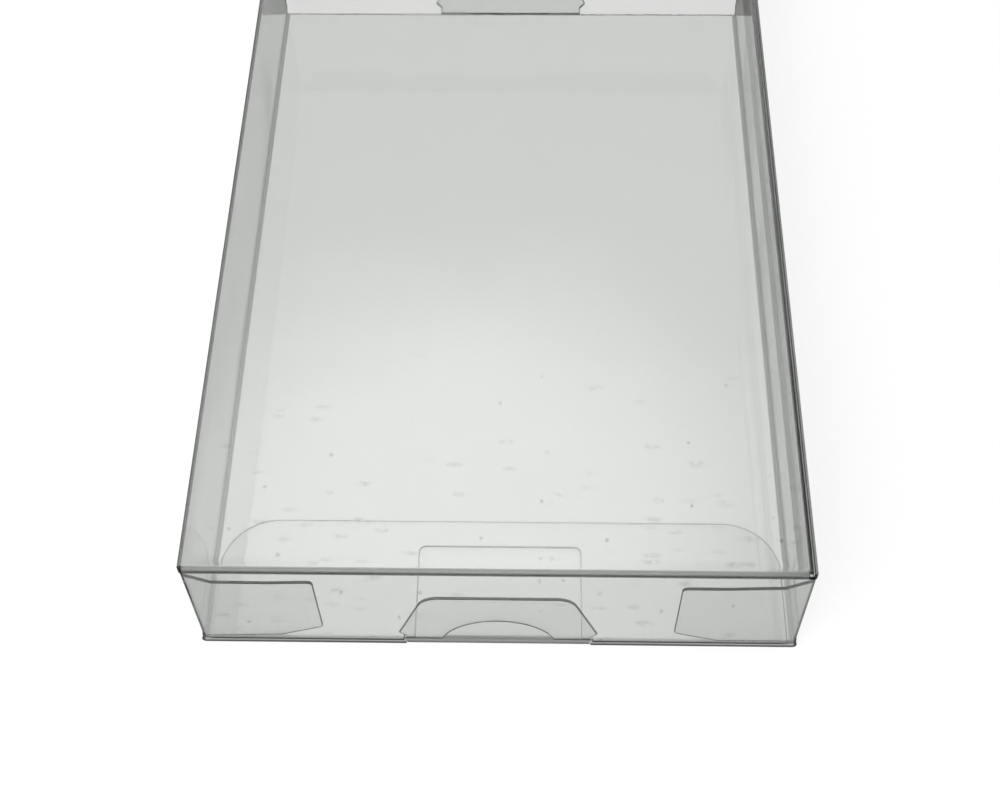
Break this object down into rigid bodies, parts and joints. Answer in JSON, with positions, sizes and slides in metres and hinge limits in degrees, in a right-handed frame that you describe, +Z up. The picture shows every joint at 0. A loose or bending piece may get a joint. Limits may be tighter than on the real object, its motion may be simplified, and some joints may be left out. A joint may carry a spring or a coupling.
{
  "type": "game box protector",
  "caption": "Clear folded-film slip box for a game case, with a locked tuck end and an open end whose lid, tuck flap, dust flaps and lock tab fold shut.",
  "frame": {"origin": "centre of the bottom panel's outer face, on the surface that the box lies on", "axes": "+X across the box, +Y along it from the closed end to the open end, +Z up"},
  "size_m": [0.0832, 0.1429, 0.029],
  "materials": {
    "clear_film": "clear polyester film, glossy, with light scuffs",
    "glue_line": "set clear adhesive, slightly cloudy"
  },
  "bodies": {
    "sleeve": {"sleeve": "clear_film", "seam_glue": "glue_line"},
    "far_lid": {"far_lid": "clear_film"},
    "far_tuck_flap": {"far_tuck_flap": "clear_film"},
    "far_dust_flap_left": {"far_dust_flap_left": "clear_film"},
    "far_dust_flap_right": {"far_dust_flap_right": "clear_film"},
    "far_lock_tab": {"far_lock_tab": "clear_film"}
  },
  "joints": [
    {"name": "lid_crease", "type": "hinge", "parent": "sleeve", "child": "far_lid", "pos_m": [0, 0.0558, 0.0186], "axis": [-1, 0, 0], "range_deg": [-45, 125], "stiffness_Nm_per_rad": 0.004},
    {"name": "tuck_crease", "type": "hinge", "parent": "far_lid", "child": "far_tuck_flap", "pos_m": [0, 0.07042, 0.02884], "axis": [-1, 0, 0], "range_deg": [-35, 55], "stiffness_Nm_per_rad": 0.002},
    {"name": "left_dust_crease", "type": "hinge", "parent": "sleeve", "child": "far_dust_flap_left", "pos_m": [-0.0363, 0.0551, 0.00905], "axis": [0, 0, -1], "range_deg": [-40, 110], "stiffness_Nm_per_rad": 0.0005},
    {"name": "right_dust_crease", "type": "hinge", "parent": "sleeve", "child": "far_dust_flap_right", "pos_m": [0.0363, 0.0551, 0.00905], "axis": [0, 0, 1], "range_deg": [-40, 110], "stiffness_Nm_per_rad": 0.0005},
    {"name": "lock_tab_crease", "type": "hinge", "parent": "sleeve", "child": "far_lock_tab", "pos_m": [0, 0.0551, 0.0002], "axis": [1, 0, 0], "range_deg": [0, 90], "stiffness_Nm_per_rad": 0.0003}
  ]
}
